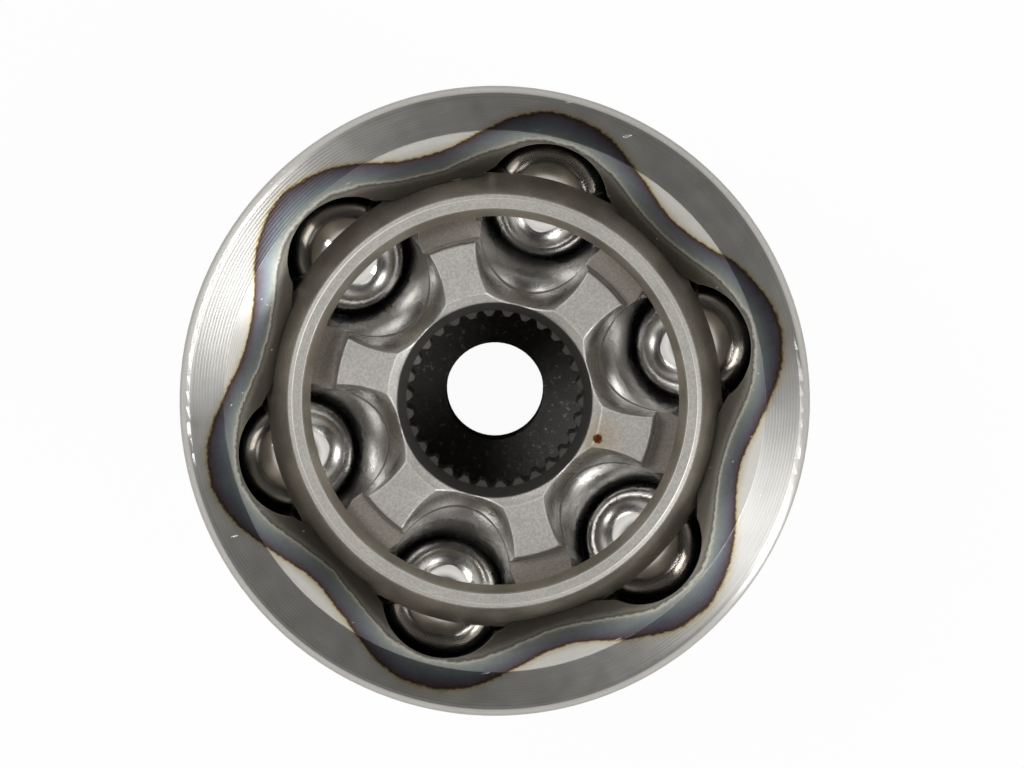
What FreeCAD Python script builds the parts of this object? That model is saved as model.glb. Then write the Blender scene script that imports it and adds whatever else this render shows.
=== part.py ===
"""Fixed constant-velocity joint: bell-shaped outer race, ball cage, inner race and six balls.

Millimetres. The origin is the joint centre, where the planes of the balls and the pivots of the
cage and the inner race meet. +Z leaves the open mouth towards the driveshaft, and the bell's
back, with its face spline and hub bolt thread, faces -Z. Ball 1 lies on +X.
"""

import FreeCAD
import Part

import math
import os

Vector = FreeCAD.Vector
CENTRE = Vector(0, 0, 0)
AXIS = Vector(0, 0, 1)

# Balls and their tracks
BALL_COUNT = 6
BALL_DIAMETER = 16.669  # 21/32 inch bearing ball
PITCH_RADIUS = 29.15  # joint centre to ball centre, with the joint straight
TRACK_OFFSET = 5.5  # track centres: outer race this far to the mouth, inner race to the back
TRACK_CLEARANCE = 0.20  # ball to track, radially
OUTER_TRACK_END = -50.0  # degrees about its centre at which the outer race's track ends
TRACK_RUN_OUT = 60.0  # degrees at which a track is past the piece's open side

GUIDE_CLEARANCE = 0.10  # race to cage, radially, on the spheres that guide the cage

# Outer race: the mouth
RIM_RADIUS = 43.93
RIM_ROUND = 1.53
MOUTH_Z = 17.0
MOUTH_CONE_RADIUS = 37.7  # where the flat mouth face ends and the cone starts
MOUTH_CONE_ANGLE = 47.0  # from the axis; the driveshaft swings down to it
OUTER_TRACK_BEVEL = 0.90  # how far the track's 45 degree bevels cut into its circle
RIM_FOOT_Z = -5.5  # where the machined rim ends and the forged bell starts
RIM_FOOT_CHAMFER = 0.6  # height of the slope between them

# Outer race: the boot seat
BOOT_GROOVE_DEPTH = 0.75
BOOT_GROOVE_WIDTH = 5.6
BOOT_GROOVE_Z = 9.0  # middle of the groove
BOOT_GROOVE_FLANK = 0.5

# Outer race: the bell
BELL_WALL = 6.8  # over the bottoms of the ball tracks
CAVITY_SPHERE_END_Z = -26.4
CAVITY_FLOOR_Z = -29.0
CAVITY_FLOOR_RADIUS = 13.5
NECK_RADIUS = 31.5
NECK_CHAMFER = 1.2

# Outer race: the hub end
SHOULDER_Z = -47.0
FACE_SPLINE_TEETH = 48
FACE_SPLINE_OUTER_RADIUS = 27.0
FACE_SPLINE_INNER_RADIUS = 20.0
FACE_SPLINE_HEIGHT = 4.0  # shoulder to tooth tips
FACE_SPLINE_TIP = 1.0  # tooth tips to the pitch plane
FACE_SPLINE_FLANK = 30.0  # degrees from the axis
RECESS_DEPTH = 2.4  # tooth tips to the flat around the thread
THREAD_MINOR_DIAMETER = 14.376  # M16 x 1.5
THREAD_CHAMFER = 0.8

# Ball cage, whose outer sphere passes through its corners
CAGE_HALF_WIDTH = 16.35
CAGE_FACE_OUTER_RADIUS = 28.25
CAGE_FACE_WIDTH = 1.33
CAGE_CORNER_WIDTH = 0.57  # chamfer between the face and the outer sphere, radially
CAGE_CORNER_DEPTH = 0.275  # the same chamfer along the axis
CAGE_MOUTH_BEVEL = 1.12  # slope from the face in to the smallest opening, radially
CAGE_WALL = 4.4  # between the outer and the inner sphere
WINDOW_CLEARANCE = 0.20  # ball to each flat side of its window
WINDOW_PLAY = 1.9  # ball to each end of its window, along the pitch circle
WINDOW_CORNER = 3.0

# Inner race
HUB_FACE_Z = 12.1
HUB_RADIUS = 22.4
HUB_DRAFT = 8.0  # degrees
HUB_EDGE = 0.25
SHELF_Z = 8.8  # the lower ring outside the hub
INNER_BACK_Z = -12.5
INNER_TRACK_BEVEL = 0.90  # how far the track's 45 degree bevels cut into its circle
BORE_CHAMFER_RADIUS = 15.0
BORE_CHAMFER_DEPTH = 1.3
LEAD_IN_DEPTH = 7.0  # hub face to the ends of the spline teeth
BACK_BORE_CHAMFER = 1.0

# Shaft spline in the inner race, DIN 5480 25 x 0.8 x 30
SPLINE_TEETH = 30
SPLINE_ROOT_DIAMETER = 25.0
SPLINE_TOOTH_HEIGHT = 0.8
SPLINE_FLANK = 30.0  # degrees from each tooth's middle line

MARGIN = 1.0  # how far a cutting body passes the surface that it cuts

# Values that follow from the ones above
BALL_RADIUS = BALL_DIAMETER / 2
TRACK_RADIUS = BALL_RADIUS + TRACK_CLEARANCE
TRACK_ARC_RADIUS = math.hypot(PITCH_RADIUS, TRACK_OFFSET)
CAGE_CORNER_RADIUS = CAGE_FACE_OUTER_RADIUS + CAGE_CORNER_WIDTH
CAGE_CORNER_Z = CAGE_HALF_WIDTH - CAGE_CORNER_DEPTH
CAGE_OUTER_RADIUS = math.hypot(CAGE_CORNER_RADIUS, CAGE_CORNER_Z)
CAGE_INNER_RADIUS = CAGE_OUTER_RADIUS - CAGE_WALL
CAGE_FACE_INNER_RADIUS = CAGE_FACE_OUTER_RADIUS - CAGE_FACE_WIDTH
CAGE_MOUTH_RADIUS = CAGE_FACE_INNER_RADIUS - CAGE_MOUTH_BEVEL
OUTER_GUIDE_RADIUS = CAGE_OUTER_RADIUS + GUIDE_CLEARANCE  # spherical bore of the outer race
INNER_GUIDE_RADIUS = CAGE_INNER_RADIUS - GUIDE_CLEARANCE  # outside of the inner race
BELL_ARC_RADIUS = TRACK_ARC_RADIUS + TRACK_RADIUS + BELL_WALL
TOOTH_TIP_Z = SHOULDER_Z - FACE_SPLINE_HEIGHT
RECESS_Z = TOOTH_TIP_Z + RECESS_DEPTH
THREAD_RADIUS = THREAD_MINOR_DIAMETER / 2
SPLINE_ROOT_RADIUS = SPLINE_ROOT_DIAMETER / 2
SPLINE_TIP_RADIUS = SPLINE_ROOT_RADIUS - SPLINE_TOOTH_HEIGHT


def circle_height(radius, across):
    """Height above its centre at which a circle lies this far across."""
    return math.sqrt(radius**2 - across**2)


def arc_to(radius, centre_z, start, end):
    """Arc step of an outline, on a circle centred on the axis at centre_z."""
    first = math.atan2(start[1] - centre_z, start[0])
    last = math.atan2(end[1] - centre_z, end[0])
    middle = (first + last) / 2
    through = (radius * math.cos(middle), centre_z + radius * math.sin(middle))
    return (through, end)


def turned(start, steps):
    """Solid turned about Z from a closed outline of (radius, z) points.

    A step is the next point for a straight line, or (point passed, next point) for an arc.
    """

    def place(point):
        return Vector(point[0], 0, point[1])

    edges = []
    here = start
    for step in list(steps) + [start]:
        if isinstance(step[0], tuple):
            through, there = step
            edges.append(Part.Arc(place(here), place(through), place(there)).toShape())
        else:
            there = step
            edges.append(Part.LineSegment(place(here), place(there)).toShape())
        here = there
    face = Part.Face(Part.Wire(edges))
    return face.revolve(CENTRE, AXIS, 360)


def around(shape, count):
    """Copies of a shape, evenly spaced about Z."""
    copies = []
    for number in range(count):
        copy = shape.copy()
        copy.rotate(CENTRE, AXIS, 360.0 * number / count)
        copies.append(copy)
    return copies


def polygon_face(points):
    return Part.Face(Part.makePolygon(points + points[:1]))


def track_cutter(centre_z, lowest, highest, inset, opens):
    """The space of the ball track on +X, swept on its arc about a sideways axis at centre_z.

    Angles are in degrees above the centre's plane. The section is a circle that opens through
    45 degree bevels, towards the axis where opens is -1 and away from it where opens is 1. Each
    bevel cuts this inset into the circle.
    """

    def corner(depth, v):
        return Vector(TRACK_ARC_RADIUS - opens * depth, v, centre_z)

    bevel = math.sqrt(2) * (TRACK_RADIUS - inset)  # depth plus half-width along each bevel
    half_chord = math.sqrt(2 * TRACK_RADIUS**2 - bevel**2) / 2
    edge_depth = bevel / 2 - half_chord  # where the bevels leave the circle
    edge_v = bevel / 2 + half_chord
    reach = TRACK_RADIUS / 2
    arc = Part.Arc(corner(edge_depth, edge_v), corner(TRACK_RADIUS, 0), corner(edge_depth, -edge_v))
    flare = Part.makePolygon(
        [
            corner(edge_depth, -edge_v),
            corner(-reach, -bevel - reach),
            corner(-reach, bevel + reach),
            corner(edge_depth, edge_v),
        ]
    )
    section = Part.Face(Part.Wire([arc.toShape()] + flare.Edges))
    pivot = Vector(0, 0, centre_z)
    sideways = Vector(0, -1, 0)
    section.rotate(pivot, sideways, lowest)
    return section.revolve(pivot, sideways, highest - lowest)


def face_spline_groove():
    """One V groove between two teeth of the face spline, along +X."""
    pitch_z = TOOTH_TIP_Z + FACE_SPLINE_TIP
    lean = math.tan(math.radians(FACE_SPLINE_FLANK))
    quarter_pitch = math.pi / (2 * FACE_SPLINE_TEETH)
    below = TOOTH_TIP_Z - MARGIN

    def section(x):
        half_width = quarter_pitch * x + (pitch_z - below) * lean
        top = pitch_z + quarter_pitch * x / lean
        points = [
            Vector(x, 0, top),
            Vector(x, half_width, below),
            Vector(x, -half_width, below),
        ]
        return Part.makePolygon(points + points[:1])

    start = section(FACE_SPLINE_INNER_RADIUS - MARGIN)
    end = section(FACE_SPLINE_OUTER_RADIUS + MARGIN)
    return Part.makeLoft([start, end], True, True)


def outer_race():
    cone_slope = 1 / math.tan(math.radians(MOUTH_CONE_ANGLE))
    land_z = mouth_land_height(cone_slope)
    land_radius = circle_height(OUTER_GUIDE_RADIUS, land_z)
    bell_top = (circle_height(BELL_ARC_RADIUS, TRACK_OFFSET - RIM_FOOT_Z), RIM_FOOT_Z)
    bell_end = (NECK_RADIUS, TRACK_OFFSET - circle_height(BELL_ARC_RADIUS, NECK_RADIUS))
    sphere_end = (circle_height(OUTER_GUIDE_RADIUS, CAVITY_SPHERE_END_Z), CAVITY_SPHERE_END_Z)
    round_start = (RIM_RADIUS - RIM_ROUND, MOUTH_Z)
    round_end = (RIM_RADIUS, MOUTH_Z - RIM_ROUND)
    round_middle = (
        RIM_RADIUS - RIM_ROUND * (1 - math.sqrt(0.5)),
        MOUTH_Z - RIM_ROUND * (1 - math.sqrt(0.5)),
    )
    groove_radius = RIM_RADIUS - BOOT_GROOVE_DEPTH
    groove_top = BOOT_GROOVE_Z + BOOT_GROOVE_WIDTH / 2
    groove_foot = BOOT_GROOVE_Z - BOOT_GROOVE_WIDTH / 2
    body = turned(
        (MOUTH_CONE_RADIUS, MOUTH_Z),
        [
            round_start,
            (round_middle, round_end),
            (RIM_RADIUS, groove_top + BOOT_GROOVE_FLANK),
            (groove_radius, groove_top),
            (groove_radius, groove_foot),
            (RIM_RADIUS, groove_foot - BOOT_GROOVE_FLANK),
            (RIM_RADIUS, RIM_FOOT_Z + RIM_FOOT_CHAMFER),
            bell_top,
            arc_to(BELL_ARC_RADIUS, TRACK_OFFSET, bell_top, bell_end),
            (NECK_RADIUS, SHOULDER_Z + NECK_CHAMFER),
            (NECK_RADIUS - NECK_CHAMFER, SHOULDER_Z),
            (FACE_SPLINE_OUTER_RADIUS, SHOULDER_Z),
            (FACE_SPLINE_OUTER_RADIUS, TOOTH_TIP_Z),
            (FACE_SPLINE_INNER_RADIUS, TOOTH_TIP_Z),
            (FACE_SPLINE_INNER_RADIUS, RECESS_Z),
            (THREAD_RADIUS + THREAD_CHAMFER, RECESS_Z),
            (THREAD_RADIUS, RECESS_Z + THREAD_CHAMFER),
            (THREAD_RADIUS, CAVITY_FLOOR_Z),
            (CAVITY_FLOOR_RADIUS, CAVITY_FLOOR_Z),
            sphere_end,
            arc_to(OUTER_GUIDE_RADIUS, 0, sphere_end, (land_radius, land_z)),
        ],
    )
    track = track_cutter(TRACK_OFFSET, OUTER_TRACK_END, TRACK_RUN_OUT, OUTER_TRACK_BEVEL, -1)
    grooves = around(face_spline_groove(), FACE_SPLINE_TEETH)
    return body.cut(around(track, BALL_COUNT)).cut(grooves)


def mouth_land_height(cone_slope):
    """Height at which the mouth cone meets the spherical bore."""
    foot = MOUTH_Z - MOUTH_CONE_RADIUS * cone_slope  # the cone's line carried down to the axis
    length = 1 + cone_slope**2
    half = foot * cone_slope / length
    across = -half + math.sqrt(half**2 - (foot**2 - OUTER_GUIDE_RADIUS**2) / length)
    return foot + across * cone_slope


def ball_cage():
    mouth_z = circle_height(CAGE_INNER_RADIUS, CAGE_MOUTH_RADIUS)
    top = (CAGE_CORNER_RADIUS, CAGE_CORNER_Z)
    bottom = (CAGE_CORNER_RADIUS, -CAGE_CORNER_Z)
    ring = turned(
        (CAGE_FACE_INNER_RADIUS, CAGE_HALF_WIDTH),
        [
            (CAGE_FACE_OUTER_RADIUS, CAGE_HALF_WIDTH),
            top,
            arc_to(CAGE_OUTER_RADIUS, 0, top, bottom),
            (CAGE_FACE_OUTER_RADIUS, -CAGE_HALF_WIDTH),
            (CAGE_FACE_INNER_RADIUS, -CAGE_HALF_WIDTH),
            (CAGE_MOUTH_RADIUS, -mouth_z),
            arc_to(
                CAGE_INNER_RADIUS,
                0,
                (CAGE_MOUTH_RADIUS, -mouth_z),
                (CAGE_MOUTH_RADIUS, mouth_z),
            ),
        ],
    )
    half_height = BALL_RADIUS + WINDOW_CLEARANCE
    half_length = BALL_RADIUS + WINDOW_PLAY
    start = CAGE_MOUTH_RADIUS - MARGIN - half_height
    length = CAGE_OUTER_RADIUS + MARGIN - start
    window = Part.makeBox(
        length, 2 * half_length, 2 * half_height, Vector(start, -half_length, -half_height)
    )
    corners = []
    for edge in window.Edges:
        if abs(edge.Vertexes[0].X - edge.Vertexes[-1].X) > length / 2:
            corners.append(edge)
    window = window.makeFillet(WINDOW_CORNER, corners)
    return ring.cut(around(window, BALL_COUNT))


def spline_space():
    """One space between two teeth of the shaft spline, along +X."""
    root = SPLINE_ROOT_RADIUS
    quarter_pitch = math.pi / (2 * SPLINE_TEETH)
    lean = math.tan(math.radians(SPLINE_FLANK))
    pitch_radius = (SPLINE_TIP_RADIUS + root) / 2
    half_at_pitch = quarter_pitch * pitch_radius
    inside = SPLINE_TIP_RADIUS - MARGIN
    half_inside = half_at_pitch + (pitch_radius - inside) * lean
    half_at_root = half_at_pitch - (root - pitch_radius) * lean
    section = polygon_face(
        [
            Vector(inside, half_inside, INNER_BACK_Z - MARGIN),
            Vector(root, half_at_root, INNER_BACK_Z - MARGIN),
            Vector(root, -half_at_root, INNER_BACK_Z - MARGIN),
            Vector(inside, -half_inside, INNER_BACK_Z - MARGIN),
        ]
    )
    return section.extrude(Vector(0, 0, HUB_FACE_Z - INNER_BACK_Z + 2 * MARGIN))


def inner_race():
    hub_foot = HUB_RADIUS + (HUB_FACE_Z - SHELF_Z) * math.tan(math.radians(HUB_DRAFT))
    shelf_edge = (circle_height(INNER_GUIDE_RADIUS, SHELF_Z), SHELF_Z)
    back_edge = (circle_height(INNER_GUIDE_RADIUS, INNER_BACK_Z), INNER_BACK_Z)
    lead_in_radius = BORE_CHAMFER_RADIUS - BORE_CHAMFER_DEPTH
    tip = SPLINE_TIP_RADIUS
    root = SPLINE_ROOT_RADIUS
    tooth_end_z = HUB_FACE_Z - LEAD_IN_DEPTH
    body = turned(
        (BORE_CHAMFER_RADIUS, HUB_FACE_Z),
        [
            (HUB_RADIUS - HUB_EDGE, HUB_FACE_Z),
            (HUB_RADIUS, HUB_FACE_Z - HUB_EDGE),
            (hub_foot, SHELF_Z),
            shelf_edge,
            arc_to(INNER_GUIDE_RADIUS, 0, shelf_edge, back_edge),
            (root + BACK_BORE_CHAMFER, INNER_BACK_Z),
            (tip, INNER_BACK_Z + root + BACK_BORE_CHAMFER - tip),
            (tip, tooth_end_z - (root - tip)),
            (root, tooth_end_z),
            (lead_in_radius, HUB_FACE_Z - BORE_CHAMFER_DEPTH),
        ],
    )
    track = track_cutter(-TRACK_OFFSET, -TRACK_RUN_OUT, TRACK_RUN_OUT, INNER_TRACK_BEVEL, 1)
    return body.cut(around(spline_space(), SPLINE_TEETH)).cut(around(track, BALL_COUNT))


def ball(number):
    """The ball of this number, from 1, in the cage's middle plane."""
    angle = 2 * math.pi * (number - 1) / BALL_COUNT
    place = Vector(PITCH_RADIUS * math.cos(angle), PITCH_RADIUS * math.sin(angle), 0)
    return Part.makeSphere(BALL_RADIUS, place)


def main():
    parts = {
        "outer_race": outer_race(),
        "ball_cage": ball_cage(),
        "inner_race": inner_race(),
    }
    for number in range(1, BALL_COUNT + 1):
        parts[f"ball_{number}"] = ball(number)
    os.makedirs("parts", exist_ok=True)
    for name, shape in parts.items():
        if len(shape.Solids) != 1 or not shape.isValid():
            raise ValueError(f"{name}: {len(shape.Solids)} solids, valid {shape.isValid()}")
        shape.Solids[0].exportStep(f"parts/{name}.step")
        print(f"{name}: {shape.Volume / 1000:.2f} cm3")


main()
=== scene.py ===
"""Looks of the constant-velocity joint: procedural steel finishes, floor, lights and camera.

Lengths are in metres, in the row frame: the joint's axis is Z with the mouth facing +Z, ball 1
lies on +X, and the joint stands on the teeth at its back.
"""

import math

import bpy
from mathutils import Matrix, Vector

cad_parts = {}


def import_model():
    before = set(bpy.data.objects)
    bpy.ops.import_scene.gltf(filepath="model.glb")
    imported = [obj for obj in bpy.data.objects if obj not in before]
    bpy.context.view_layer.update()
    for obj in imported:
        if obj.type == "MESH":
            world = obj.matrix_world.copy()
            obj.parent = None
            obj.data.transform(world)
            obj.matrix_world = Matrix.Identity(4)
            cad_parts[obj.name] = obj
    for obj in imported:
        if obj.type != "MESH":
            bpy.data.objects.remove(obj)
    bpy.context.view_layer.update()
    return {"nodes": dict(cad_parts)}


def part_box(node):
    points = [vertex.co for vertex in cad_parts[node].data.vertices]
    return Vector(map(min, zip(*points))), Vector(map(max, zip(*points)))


MM = 0.001
MICRON = 1.0e-6

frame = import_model()

nodes = frame["nodes"]
race_low, race_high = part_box("outer_race")
MOUTH_Z = race_high.z
HUB_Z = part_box("inner_race")[1].z
CAGE_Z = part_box("ball_cage")[1].z

# The outer race's forms, as far as its finishes follow them
SOFT = 0.1 * MM  # how gradually one finish passes into the next
CONE_RADIUS = 37.7 * MM  # flat mouth face to mouth cone
CONE_SLOPE = 1 / math.tan(math.radians(47.0))
MOUTH_SKIN = 0.45 * MM  # the mouth's finish ends this far under its surface
RIM_CORNER_Z = (MOUTH_Z - 1.0 * MM, MOUTH_Z - 1.5 * MM)  # where the rim's round is over
FACE_RADIUS = 42.4 * MM
TRACK_CENTRE_Z = 5.5 * MM
GUIDE_RADIUS = 33.1 * MM  # spherical bore
INSIDE_REACH = 41.5 * MM  # from the track centre, between the inner and the outer surfaces
INSIDE_Z = (4.0 * MM, -16.0 * MM)  # down the inside, from clean steel to a rough floor
TRACK_FOOT_Z = (-22.0 * MM, -18.0 * MM)  # the polish on the tracks begins here
BELL_TOP_Z = -5.2 * MM
BELL_END_Z = -26.6 * MM
HOLE_RADIUS = 9.0 * MM  # clear of the hub bolt's hole

# Heat tints run round the mouth in a six-lobed wave, from a pale line to a dark line
TRACK_COUNT = 6
TINT_PALE = (36.12 * MM, 2.34 * MM)  # mean radius, swing
TINT_WIDTH = (2.24 * MM, 0.50 * MM)

# The cage's and the inner race's forms, as far as their finishes follow them
CAGE_FACE_DEPTH = (0.9 * MM, 0.35 * MM)  # under the cage's top, from sphere to ground face
CAGE_HIGHLIGHT_LINES = (26.92 * MM, 28.25 * MM)  # radii of the painted highlight lines at the edges of the cage's face
CAGE_HIGHLIGHT_HALF = 0.05 * MM
HUB_FACE_Z = (HUB_Z - 1.6 * MM, HUB_Z - 0.05 * MM)
HUB_SHELF_Z = (HUB_Z - 3.6 * MM, HUB_Z - 3.2 * MM)
HUB_BORE_RADIUS = (13.75 * MM, 13.55 * MM)
RUST_PLACE = (12.4 * MM, -9.0 * MM, HUB_Z)
RUST_RADIUS = (0.85 * MM, 0.45 * MM)
STAIN_RADIUS = (4.5 * MM, 0.8 * MM)

# Turning marks, nicks, and edges with wear and painted highlights
RING_HEIGHT_SHARE = 0.73  # how much height counts beside radius in a turning mark's place
RING_DRIFT = 5.0  # radians that the marks stray from an even pitch, over about three pitches
NICK_CELL_SHIFT = (3.1, 0.7, 1.7)  # each way round that nicks lie has cells of its own
NICK_EDGE = (0.13, 0.07)  # share of a cell, from outside a nick to inside it
BEVEL_SAMPLES = 4
EDGE_SOFTNESS = 0.08

# Thresholds on noise, which keeps near 0.5
CLOUDY = (0.35, 0.65)
SPECKLED = (0.36, 0.66)
SPECKLE_SCALE = 3200.0

# Roughness of each finish
ROUGH = {
    "tint": 0.34,
    "dry tint": 0.50,
    "race bore": 0.42,
    "race floor": 0.60,
    "race track": 0.16,
    "turned": 0.34,
    "forged": 0.62,
    "cage sphere": 0.46,
    "cage face": 0.60,
    "cage edge": 0.36,
    "hub track": 0.17,
    "hub face": 0.54,
    "hub shelf": 0.56,
    "hub bore": 0.45,
    "hub edge": 0.34,
    "ball": 0.08,
    "floor": 0.80,
}

# Below 1 where oxide covers the steel
METALLIC = {"race inside": 0.70, "cage sphere": 0.65, "hub bore": 0.75}

# Floor
FLOOR_Z = race_low.z - 0.05 * MM  # just under the teeth, so that their tips don't lie in it
FLOOR_HALF = 1.5
FLOOR_GLOW = 0.96  # share of plain white in what the camera sees of the floor

# Camera
IMAGE_WIDTH = 1024
SENSOR = 36.0  # millimetres
DISTANCE = 0.817  # camera to the mouth face
PIXELS_PER_RADIAN = 5873.5
FACE_ASIDE = Vector((-0.00239, -0.00245))  # middle of the mouth face from the line of sight
AXIS_TILT = Vector((0.0025, -0.030))  # how the joint's +Z leans, right and up in the picture
ROLL = math.radians(15.6)  # ball 1 above the picture's horizontal
FARTHEST = 10.0  # that the camera sees

# Softboxes: azimuth in the picture and lean from the joint's axis in degrees, side, watts
SOFTBOX_DISTANCE = 0.9
SOFTBOXES = {
    "key": (155.0, 29.0, 0.25, 2.1),
    "fill": (335.0, 31.0, 0.25, 1.0),
    "low": (330.0, 67.0, 0.20, 2.0),
}

# Light tent: (height of the direction, light), from the horizon to overhead
TENT = [
    (0.00, 0.80),
    (0.08, 1.50),
    (0.28, 1.50),
    (0.40, 0.80),
    (0.60, 1.00),
    (0.68, 0.75),
    (0.76, 0.10),
    (0.94, 0.06),
    (1.00, 0.05),
]
TENT_TINT = (1.0, 0.985, 0.96)


def linear(red, green, blue):
    """Scene colour of an sRGB colour written 0 to 255."""

    def one(value):
        value = value / 255
        return value / 12.92 if value <= 0.04045 else ((value + 0.055) / 1.055) ** 2.4

    return (one(red), one(green), one(blue), 1.0)


# Colours: a pair is the two ends of a mixture
TURNED = (linear(198, 196, 192), linear(214, 212, 208))
TURNED_STAIN = linear(150, 138, 118)
RACE_BORE = (linear(112, 106, 96), linear(138, 131, 119))
RACE_FLOOR = (linear(122, 119, 115), linear(204, 200, 194))
RACE_TRACK = linear(222, 219, 214)
# pale steel for the nicks, and for the edges as wear and painted edge highlight
RACE_WORN_AND_HIGHLIGHT = linear(222, 220, 214)
FORGED = (linear(78, 73, 67), linear(102, 97, 91))
CAGE_SPHERE = (linear(134, 127, 116), linear(158, 150, 138))
CAGE_FACE = (linear(176, 173, 168), linear(196, 193, 187))
# near-white for the nicks, and for the edges as wear and painted edge highlight
CAGE_WORN_AND_HIGHLIGHT = linear(246, 245, 240)
HUB_TRACK = (linear(200, 199, 197), linear(234, 233, 231))
HUB_FACE = (linear(172, 169, 164), linear(204, 201, 196))
# the hub's steel made darker and browner, as painted shade in the recessed shelf
HUB_SHELF_SHADE = linear(158, 152, 144)
HUB_BORE = linear(104, 102, 99)
# near-white for the edges, as wear and painted edge highlight
HUB_WORN_AND_HIGHLIGHT = linear(244, 243, 240)
RUST_STAIN = linear(168, 146, 104)
RUST = linear(92, 46, 18)
BALL = (linear(206, 204, 202), linear(226, 224, 222))
FLOOR = (linear(236, 236, 235), linear(244, 244, 243))

# Heat tints, from 0 on the pale line to 1 on the dark line
HEAT_TINTS = [
    (-1.8, linear(98, 94, 86)),
    (-1.0, linear(110, 106, 97)),
    (-0.68, linear(140, 137, 128)),
    (-0.55, linear(110, 108, 101)),
    (-0.42, linear(204, 203, 193)),
    (-0.30, linear(158, 162, 157)),
    (-0.12, linear(138, 145, 143)),
    (0.10, linear(124, 131, 135)),
    (0.38, linear(110, 112, 120)),
    (0.62, linear(100, 95, 104)),
    (0.80, linear(90, 78, 80)),
    (0.90, linear(72, 58, 50)),
    (0.97, linear(128, 110, 82)),
    (1.02, linear(190, 176, 144)),
    (1.14, linear(208, 203, 188)),
    (1.5, linear(214, 213, 209)),
]


class Graph:
    """Short calls that build one material's nodes. A socket or a plain value can be any input."""

    def __init__(self, name):
        self.material = bpy.data.materials.new(name)
        self.material.use_nodes = True
        self.tree = self.material.node_tree
        self.shader = self.tree.nodes["Principled BSDF"]
        self.place = self.new("ShaderNodeTexCoord").outputs["Object"]
        x, y, self.z = self.new("ShaderNodeSeparateXYZ", {0: self.place}).outputs
        self.radius = self.length(x, y)
        self.angle = self.math("ARCTAN2", y, x)

    def new(self, kind, inputs=None, **settings):
        node = self.tree.nodes.new(kind)
        for name, value in settings.items():
            setattr(node, name, value)
        for key, value in (inputs or {}).items():
            self.put(node.inputs[key], value)
        return node

    def put(self, socket, value):
        if isinstance(value, bpy.types.NodeSocket):
            self.tree.links.new(value, socket)
        else:
            socket.default_value = value

    def math(self, operation, first, second=0.0):
        inputs = {0: first, 1: second}
        return self.new("ShaderNodeMath", inputs, operation=operation).outputs[0]

    def add(self, first, second):
        return self.math("ADD", first, second)

    def minus(self, first, second):
        return self.math("SUBTRACT", first, second)

    def times(self, first, second):
        return self.math("MULTIPLY", first, second)

    def either(self, first, second):
        """The larger of two masks."""
        return self.math("MAXIMUM", first, second)

    def length(self, first, second):
        """Length of the sloping side over two square ones."""
        return self.math("SQRT", self.add(self.times(first, first), self.times(second, second)))

    def step(self, value, low, high):
        """0 below low, 1 above high and smooth between; the other way round where low > high."""
        inputs = {"Value": value, "From Min": min(low, high), "From Max": max(low, high)}
        inputs["To Min"], inputs["To Max"] = (0.0, 1.0) if low < high else (1.0, 0.0)
        node = self.new("ShaderNodeMapRange", inputs, interpolation_type="SMOOTHSTEP")
        return node.outputs["Result"]

    def band(self, value, low, high, soft):
        """1 between low and high, with edges this soft, and 0 elsewhere."""
        above = self.step(value, low - soft, low + soft)
        return self.times(above, self.step(value, high + soft, high - soft))

    def mix(self, factor, first, second):
        """Mixes two colours."""
        inputs = {0: factor, 6: first, 7: second}
        return self.new("ShaderNodeMix", inputs, data_type="RGBA").outputs[2]

    def blend(self, factor, first, second):
        """Mixes two numbers."""
        inputs = {0: factor, 2: first, 3: second}
        return self.new("ShaderNodeMix", inputs, data_type="FLOAT").outputs[0]

    def shade(self, factor, colour):
        """A colour made lighter or darker by a number."""
        inputs = {0: colour, "Scale": factor}
        return self.new("ShaderNodeVectorMath", inputs, operation="SCALE").outputs[0]

    def ramp(self, value, stops):
        """Colours along a value; stops are (position, colour), with any positions."""
        low, high = stops[0][0], stops[-1][0]
        inputs = {"Value": value, "From Min": low, "From Max": high}
        ranged = self.new("ShaderNodeMapRange", inputs).outputs["Result"]
        node = self.new("ShaderNodeValToRGB", {0: ranged})
        places = [((position - low) / (high - low), colour) for position, colour in stops]
        fill_ramp(node.color_ramp, places)
        return node.outputs["Color"]

    def noise(self, scale, detail=2.0, roughness=0.5, vector=None):
        """Noise from 0 to 1. Its scale is in cells per metre, or per unit of another vector."""
        inputs = {"Scale": scale, "Detail": detail, "Roughness": roughness}
        inputs["Vector"] = self.place if vector is None else vector
        return self.new("ShaderNodeTexNoise", inputs).outputs["Fac"]

    def sway(self, amount, scale, detail=2.0, roughness=0.5):
        """Noise about 0, half of this amount either way."""
        return self.times(self.minus(self.noise(scale, detail, roughness), 0.5), amount)

    def spots(self, low, high, scale, detail=2.0, roughness=0.5):
        """Patches of noise: 0 where it is below low and 1 where it is above high."""
        return self.step(self.noise(scale, detail, roughness), low, high)

    def vector(self, x, y, z):
        return self.new("ShaderNodeCombineXYZ", {0: x, 1: y, 2: z}).outputs[0]

    def outline(self):
        """A length that grows outwards over a turned face and upwards along a turned cylinder."""
        return self.add(self.radius, self.times(self.z, RING_HEIGHT_SHARE))

    def rings(self, pitch):
        """Turning marks round Z: 1 on their crests and 0 between, this far apart, a bit uneven."""
        outline = self.outline()
        slow = self.vector(self.times(outline, 0.35 / pitch), 0.0, 0.0)
        uneven = self.times(self.noise(1.0, detail=3.0, vector=slow), RING_DRIFT)
        turns = self.add(self.times(outline, 2 * math.pi / pitch), uneven)
        return self.add(self.times(self.math("SINE", turns), 0.5), 0.5)

    def ring_noise(self, finest):
        """Noise drawn out round Z: finest is its cells per metre."""
        along = self.times(self.outline(), finest)
        round_x, round_y = self.math("COSINE", self.angle), self.math("SINE", self.angle)
        return self.noise(1.0, vector=self.vector(along, round_x, round_y))

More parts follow.
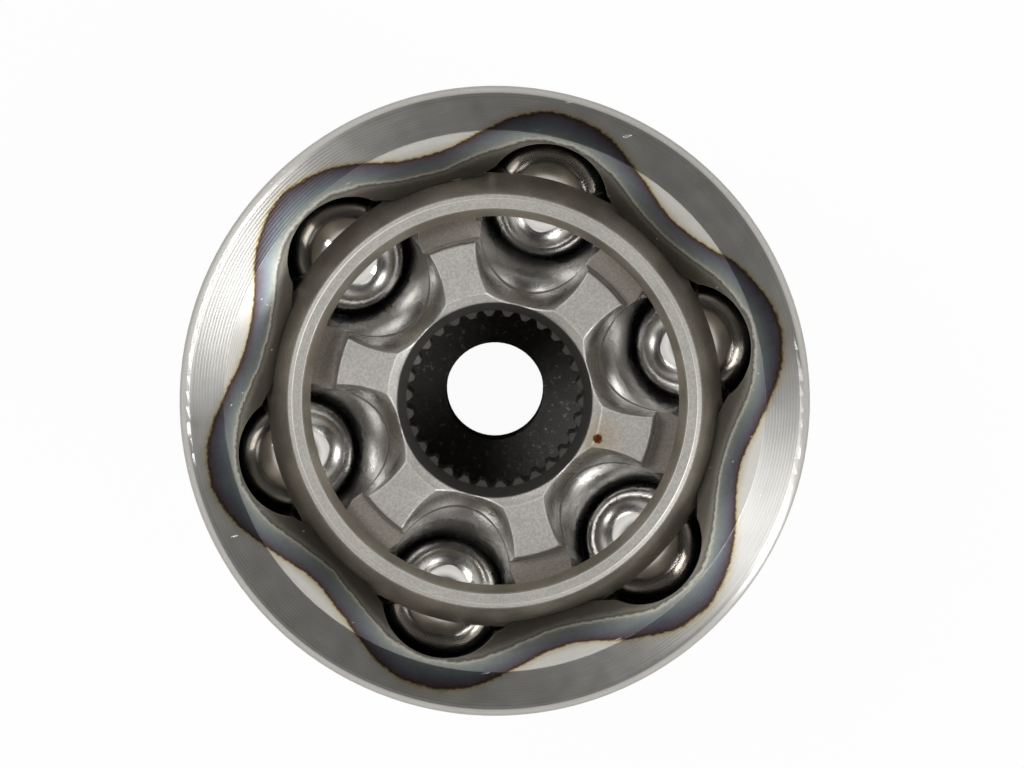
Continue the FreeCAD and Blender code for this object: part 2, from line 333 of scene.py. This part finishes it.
    def nicks(self, turns, long, short, share):
        """Sparse short marks, each lying one of these ways round: 1 in a mark and 0 elsewhere.

        A mark is found in its share of the cells, which are this long and short; it is a tenth
        of that.
        """
        total = 0.0
        for number, turn in enumerate(turns):
            inputs = {"Vector": self.place, "Rotation": (0.0, 0.0, turn)}
            inputs["Scale"] = (1 / long, 1 / short, 1 / short)
            inputs["Location"] = tuple(number * shift for shift in NICK_CELL_SHIFT)
            turned = self.new("ShaderNodeMapping", inputs).outputs[0]
            cells = self.new("ShaderNodeTexVoronoi", {"Vector": turned, "Scale": 1.0})
            picked = self.step(cells.outputs["Color"], 1.0 - share, 1.0 - share + 0.01)
            mark = self.step(cells.outputs["Distance"], *NICK_EDGE)
            total = self.either(total, self.times(picked, mark))
        return total

    def edges(self, radius, bluntest=0.96):
        """Normals rounded at edges, and 1 along the edges sharper than bluntest, 0 elsewhere."""
        rounded = self.new("ShaderNodeBevel", {"Radius": radius}, samples=BEVEL_SAMPLES).outputs[0]
        plain = self.new("ShaderNodeNewGeometry").outputs["Normal"]
        inputs = {0: rounded, 1: plain}
        likeness = self.new("ShaderNodeVectorMath", inputs, operation="DOT_PRODUCT")
        return rounded, self.step(likeness.outputs["Value"], bluntest, bluntest - EDGE_SOFTNESS)

    def bump(self, height, distance, normal=None):
        inputs = {"Height": height, "Distance": distance}
        if normal is not None:
            inputs["Normal"] = normal
        return self.new("ShaderNodeBump", inputs).outputs[0]

    def finish(self, colour, roughness, normal, metallic=1.0):
        self.put(self.shader.inputs["Base Color"], colour)
        self.put(self.shader.inputs["Roughness"], roughness)
        self.put(self.shader.inputs["Normal"], normal)
        self.put(self.shader.inputs["Metallic"], metallic)
        return self.material

    def anisotropy(self, amount):
        """Gloss drawn out across turning marks that run round Z."""
        self.shader.inputs["Anisotropic"].default_value = amount
        self.shader.inputs["Anisotropic Rotation"].default_value = 0.25  # a quarter turn
        tangent = self.new("ShaderNodeTangent", direction_type="RADIAL", axis="Z")
        self.put(self.shader.inputs["Tangent"], tangent.outputs[0])


def fill_ramp(ramp, stops):
    """Sets a colour ramp's stops, which are (position from 0 to 1, colour)."""
    while len(ramp.elements) < len(stops):
        ramp.elements.new(0.5)
    for element, (position, colour) in zip(ramp.elements, stops):
        element.position = position
        element.color = colour


def heat_tint(g):
    """Place across the mouth's heat tints, 0 on the pale line and 1 on the dark, and colour."""
    lobes = g.math("COSINE", g.times(g.angle, TRACK_COUNT))
    pale = g.add(g.times(lobes, TINT_PALE[1]), TINT_PALE[0])
    width = g.add(g.times(lobes, TINT_WIDTH[1]), TINT_WIDTH[0])
    wander = g.sway(0.45, scale=160.0, detail=3.0)
    wander = g.add(wander, g.sway(0.30, scale=1400.0, detail=3.0, roughness=0.7))
    across = g.add(g.math("DIVIDE", g.minus(g.radius, pale), width), wander)
    return across, g.ramp(across, HEAT_TINTS)


def race_zones(g):
    """Masks of the outer race: mouth, outside, forged bell, depth of the inside, ball tracks."""
    inside_face = g.math("MAXIMUM", g.minus(CONE_RADIUS, g.radius), 0.0)
    cone_z = g.minus(MOUTH_Z, g.times(inside_face, CONE_SLOPE))
    mouth = g.step(g.minus(g.z, cone_z), -MOUTH_SKIN, -SOFT)

    reach = g.length(g.radius, g.minus(g.z, TRACK_CENTRE_Z))
    rim = g.step(g.radius, FACE_RADIUS - SOFT / 2, FACE_RADIUS + SOFT)
    below = g.times(g.step(reach, INSIDE_REACH - SOFT, INSIDE_REACH), g.step(g.z, *RIM_CORNER_Z))
    clear_of_hole = g.step(g.radius, HOLE_RADIUS, HOLE_RADIUS + SOFT)
    outside = g.times(g.either(rim, below), clear_of_hole)

    ragged_z = g.add(g.z, g.sway(1.2 * MM, scale=260.0, detail=3.0))
    forged = g.times(g.band(ragged_z, BELL_END_Z, BELL_TOP_Z, 2 * SOFT), outside)

    depth = g.step(g.z, *INSIDE_Z)
    past_bore = g.step(g.length(g.radius, g.z), GUIDE_RADIUS + SOFT, GUIDE_RADIUS + 3 * SOFT)
    track = g.times(past_bore, g.step(g.z, *TRACK_FOOT_Z))
    return mouth, outside, forged, depth, track


def race_steel():
    """Outer race: turned mouth with hardening tints, dark inside, scaled bell, machined ends."""
    g = Graph("race_steel")
    rounded, edge = g.edges(0.22 * MM)
    across, tint = heat_tint(g)
    mouth, outside, forged, depth, track = race_zones(g)
    rings = g.rings(0.41 * MM)
    cloud = g.noise(55.0, detail=4.0)
    grain = g.noise(1800.0)
    nicks = g.nicks(turns=(0.3, 1.4, 2.3, 2.9), long=7.0 * MM, short=1.2 * MM, share=0.16)

    # colours
    turned = g.mix(cloud, *TURNED)
    stain = g.spots(0.62, 0.78, scale=90.0, detail=4.0, roughness=0.6)
    turned = g.mix(g.times(stain, 0.35), turned, TURNED_STAIN)
    ring_light = g.add(g.times(rings, 0.06), g.times(g.ring_noise(700.0), 0.2))
    glints = g.times(g.spots(0.70, 0.80, scale=2600.0), 0.5)
    ring_light = g.add(g.add(ring_light, 0.80), glints)
    inside = g.mix(g.step(cloud, *CLOUDY), *RACE_BORE)
    specks = g.spots(0.58, 0.72, scale=1300.0, detail=3.0, roughness=0.7)
    inside = g.mix(depth, inside, g.mix(specks, *RACE_FLOOR))
    inside = g.mix(track, inside, RACE_TRACK)
    blotches = g.spots(0.38, 0.66, scale=900.0, detail=5.0, roughness=0.65)
    colour = g.mix(mouth, inside, g.shade(ring_light, tint))
    colour = g.mix(outside, colour, g.shade(g.times(ring_light, 0.85), turned))
    colour = g.mix(forged, colour, g.mix(blotches, *FORGED))
    # Sharp edges lighten in patches as edge wear and painted edge highlight; the nicks are real
    # scratches
    worn_and_highlit = g.times(edge, g.spots(0.36, 0.60, scale=420.0, detail=3.0))
    colour = g.mix(g.times(g.either(nicks, worn_and_highlit), 0.6), colour, RACE_WORN_AND_HIGHLIGHT)

    # roughness
    mouth_rough = g.blend(g.step(across, -0.2, -0.5), ROUGH["tint"], ROUGH["dry tint"])
    rough = g.blend(depth, ROUGH["race bore"], ROUGH["race floor"])
    rough = g.blend(track, rough, ROUGH["race track"])
    rough = g.blend(mouth, rough, mouth_rough)
    rough = g.blend(outside, rough, ROUGH["turned"])
    rough = g.blend(forged, rough, ROUGH["forged"])
    rough = g.add(rough, g.sway(0.10, scale=300.0, detail=4.0))

    # relief
    machined = g.times(g.minus(1.0, forged), g.either(mouth, outside))
    pitted = g.noise(700.0, detail=5.0, roughness=0.7)
    pitted = g.times(pitted, g.either(forged, depth))
    normal = g.bump(g.times(rings, machined), 14 * MICRON, rounded)
    normal = g.bump(g.times(grain, g.minus(1.0, g.times(machined, 0.7))), 7 * MICRON, normal)
    normal = g.bump(pitted, 160 * MICRON, normal)
    normal = g.bump(g.times(nicks, -1.0), 25 * MICRON, normal)
    g.anisotropy(0.8)
    bare = g.either(g.either(mouth, outside), track)
    metallic = g.blend(bare, METALLIC["race inside"], 1.0)
    return g.finish(colour, rough, normal, metallic)


def cage_steel():
    """Ball cage: ground faces, hardened brown-grey sphere and windows."""
    g = Graph("cage_steel")
    rounded, edge = g.edges(0.12 * MM)
    face = g.step(g.math("ABSOLUTE", g.z), *(CAGE_Z - depth for depth in CAGE_FACE_DEPTH))
    cloud = g.noise(140.0, detail=4.0)
    grain = g.noise(2400.0)
    rings = g.ring_noise(2600.0)
    nicks = g.nicks(turns=(0.5, 1.7, 2.6), long=5.0 * MM, short=1.0 * MM, share=0.08)

    # colours
    sphere = g.mix(g.step(cloud, *CLOUDY), *CAGE_SPHERE)
    colour = g.mix(face, sphere, g.mix(cloud, *CAGE_FACE))
    speckle = g.spots(*SPECKLED, SPECKLE_SCALE)
    colour = g.shade(g.add(g.times(g.add(rings, speckle), 0.18), 0.84), colour)
    # Painted highlight lines along the inner and outer edges of the cage's face, broken into
    # patches
    inner_highlight, outer_highlight = (
        g.band(g.radius, line - CAGE_HIGHLIGHT_HALF, line + CAGE_HIGHLIGHT_HALF, 0.03 * MM)
        for line in CAGE_HIGHLIGHT_LINES
    )
    highlight_lines = g.times(g.either(inner_highlight, outer_highlight), face)
    highlight_lines = g.times(highlight_lines, g.spots(0.20, 0.45, scale=150.0, detail=3.0))
    # Edges lighten in patches as edge wear and painted edge highlight, joined by the painted
    # highlight lines
    worn_and_highlit = g.times(edge, g.spots(0.30, 0.55, scale=500.0, detail=3.0))
    worn_and_highlit = g.either(worn_and_highlit, highlight_lines)
    colour = g.mix(g.times(g.either(nicks, worn_and_highlit), 0.8), colour, CAGE_WORN_AND_HIGHLIGHT)

    rough = g.blend(face, ROUGH["cage sphere"], ROUGH["cage face"])
    rough = g.add(rough, g.times(g.minus(cloud, 0.5), 0.12))
    rough = g.blend(worn_and_highlit, rough, ROUGH["cage edge"])
    normal = g.bump(rings, 5 * MICRON, rounded)
    normal = g.bump(grain, 8 * MICRON, normal)
    normal = g.bump(g.times(nicks, -1.0), 12 * MICRON, normal)
    metallic = g.blend(face, METALLIC["cage sphere"], 1.0)
    return g.finish(colour, rough, normal, metallic)


def hub_steel():
    """Inner race: satin hub face, polished ball tracks, black splined bore, one rust spot."""
    g = Graph("hub_steel")
    rounded, edge = g.edges(0.34 * MM, bluntest=0.98)
    face = g.step(g.z, *HUB_FACE_Z)
    bore = g.step(g.radius, *HUB_BORE_RADIUS)
    shelf = g.band(g.z, *HUB_SHELF_Z, 0.05 * MM)
    cloud = g.noise(150.0, detail=4.0)
    grain = g.noise(2000.0, detail=3.0, roughness=0.6)
    patches = g.noise(160.0, detail=3.0)

    # colours
    polished = g.mix(g.step(patches, *CLOUDY), *HUB_TRACK)
    colour = g.mix(face, polished, g.mix(cloud, *HUB_FACE))
    # Painted shade: the recessed shelf is darkened and browned
    colour = g.mix(shelf, colour, HUB_SHELF_SHADE)
    colour = g.mix(bore, colour, HUB_BORE)
    speckle = g.add(grain, g.spots(*SPECKLED, SPECKLE_SCALE))
    pits = g.spots(0.66, 0.74, scale=1500.0, detail=3.0, roughness=0.7)
    colour = g.shade(g.add(g.times(g.minus(speckle, pits), 0.22), 0.86), colour)
    # Edges lighten in patches as edge wear and painted edge highlight, less so in the bore
    worn_and_highlit = g.times(edge, g.spots(0.34, 0.56, scale=500.0, detail=3.0))
    worn_and_highlit = g.times(worn_and_highlit, g.minus(1.0, g.times(bore, 0.6)))
    colour = g.mix(g.times(worn_and_highlit, 0.9), colour, HUB_WORN_AND_HIGHLIGHT)

    # rust beside the bore
    inputs = {0: g.place, 1: RUST_PLACE}
    away = g.new("ShaderNodeVectorMath", inputs, operation="DISTANCE").outputs["Value"]
    away = g.add(away, g.sway(0.9 * MM, scale=1500.0, detail=3.0))
    colour = g.mix(g.times(g.step(away, *STAIN_RADIUS), 0.45), colour, RUST_STAIN)
    colour = g.mix(g.step(away, *RUST_RADIUS), colour, RUST)

    rough = g.add(g.times(patches, 0.20), ROUGH["hub track"])
    rough = g.blend(face, rough, ROUGH["hub face"])
    rough = g.blend(shelf, rough, ROUGH["hub shelf"])
    rough = g.blend(bore, rough, ROUGH["hub bore"])
    rough = g.blend(worn_and_highlit, rough, ROUGH["hub edge"])
    normal = g.bump(g.times(grain, g.add(g.times(face, 0.85), 0.15)), 14 * MICRON, rounded)
    metallic = g.blend(bore, 1.0, METALLIC["hub bore"])
    return g.finish(colour, rough, normal, metallic)


def ball_steel():
    """Bearing balls: mirror steel with faint patches that running leaves."""
    g = Graph("ball_steel")
    cloud = g.noise(220.0, detail=3.0)
    rough = g.add(g.times(g.step(cloud, 0.4, 0.8), 0.06), ROUGH["ball"])
    return g.finish(g.mix(cloud, *BALL), rough, g.bump(g.noise(900.0), 1 * MICRON))


def floor_material():
    """Pale floor: close to plain white for the camera, and it keeps a soft shadow."""
    g = Graph("floor")
    g.put(g.shader.inputs["Base Color"], g.mix(g.noise(3.0), *FLOOR))
    g.put(g.shader.inputs["Roughness"], ROUGH["floor"])
    seen = g.new("ShaderNodeLightPath").outputs["Is Camera Ray"]
    white = g.new("ShaderNodeEmission", {"Color": (1.0, 1.0, 1.0, 1.0), "Strength": 1.0})
    inputs = {0: g.times(seen, FLOOR_GLOW), 1: g.shader.outputs[0], 2: white.outputs[0]}
    mixed = g.new("ShaderNodeMixShader", inputs)
    g.put(g.tree.nodes["Material Output"].inputs["Surface"], mixed.outputs[0])
    return g.material


def paint(material, names):
    for name in names:
        for slot in nodes[name].material_slots:
            slot.material = material


def floor():
    signs = [(-1, -1), (1, -1), (1, 1), (-1, 1)]
    corners = [(x * FLOOR_HALF, y * FLOOR_HALF, FLOOR_Z) for x, y in signs]
    mesh = bpy.data.meshes.new("floor")
    mesh.from_pydata(corners, [], [(0, 1, 2, 3)])
    mesh.materials.append(floor_material())
    plane = bpy.data.objects.new("floor", mesh)
    bpy.context.scene.collection.objects.link(plane)


def camera():
    """Looks straight into the mouth, from above, with ball 1 to the right."""
    axis = Vector((AXIS_TILT.x, AXIS_TILT.y, 1.0)).normalized()
    across = Vector((math.cos(ROLL), math.sin(ROLL), 0.0))
    across = (across - axis * across.dot(axis)).normalized()
    to_camera = Matrix((across, axis.cross(across), axis)).transposed()
    to_row = to_camera.transposed()
    face = Vector((0.0, 0.0, MOUTH_Z))
    place = face - to_row @ Vector((FACE_ASIDE.x, FACE_ASIDE.y, -DISTANCE))
    data = bpy.data.cameras.new("camera")
    data.sensor_width = SENSOR
    data.lens = SENSOR * PIXELS_PER_RADIAN / IMAGE_WIDTH
    data.clip_end = FARTHEST
    seen = bpy.data.objects.new("camera", data)
    seen.matrix_world = Matrix.Translation(place) @ to_row.to_4x4()
    bpy.context.scene.collection.objects.link(seen)
    bpy.context.scene.camera = seen


def softbox(name, azimuth, lean, side, power):
    """Square area light that faces the mouth."""
    turn = math.radians(azimuth) - ROLL
    off = math.radians(lean)
    aim = Vector((math.sin(off) * math.cos(turn), math.sin(off) * math.sin(turn), math.cos(off)))
    data = bpy.data.lights.new(name, "AREA")
    data.shape = "SQUARE"
    data.size = side
    data.energy = power
    lamp = bpy.data.objects.new(name, data)
    lamp.location = Vector((0.0, 0.0, MOUTH_Z)) + aim * SOFTBOX_DISTANCE
    lamp.rotation_euler = aim.to_track_quat("Z", "Y").to_euler()
    bpy.context.scene.collection.objects.link(lamp)


def world():
    """Light tent: bright walls low down, a bright ring half-way up, a dark opening overhead."""
    studio = bpy.data.worlds.new("studio")
    studio.use_nodes = True
    tree = studio.node_tree
    place = tree.nodes.new("ShaderNodeTexCoord")
    parts = tree.nodes.new("ShaderNodeSeparateXYZ")
    ramp = tree.nodes.new("ShaderNodeValToRGB")
    stops = [(height, (*(level * part for part in TENT_TINT), 1.0)) for height, level in TENT]
    fill_ramp(ramp.color_ramp, stops)
    tree.links.new(place.outputs["Generated"], parts.inputs[0])
    tree.links.new(parts.outputs["Z"], ramp.inputs[0])
    tree.links.new(ramp.outputs["Color"], tree.nodes["Background"].inputs["Color"])
    bpy.context.scene.world = studio


paint(race_steel(), ["outer_race"])
paint(cage_steel(), ["ball_cage"])
paint(hub_steel(), ["inner_race"])
paint(ball_steel(), [name for name in nodes if name.startswith("ball_") and name != "ball_cage"])
floor()
camera()
for name, settings in SOFTBOXES.items():
    softbox(name, *settings)
world()
bpy.context.scene.view_settings.view_transform = "Standard"
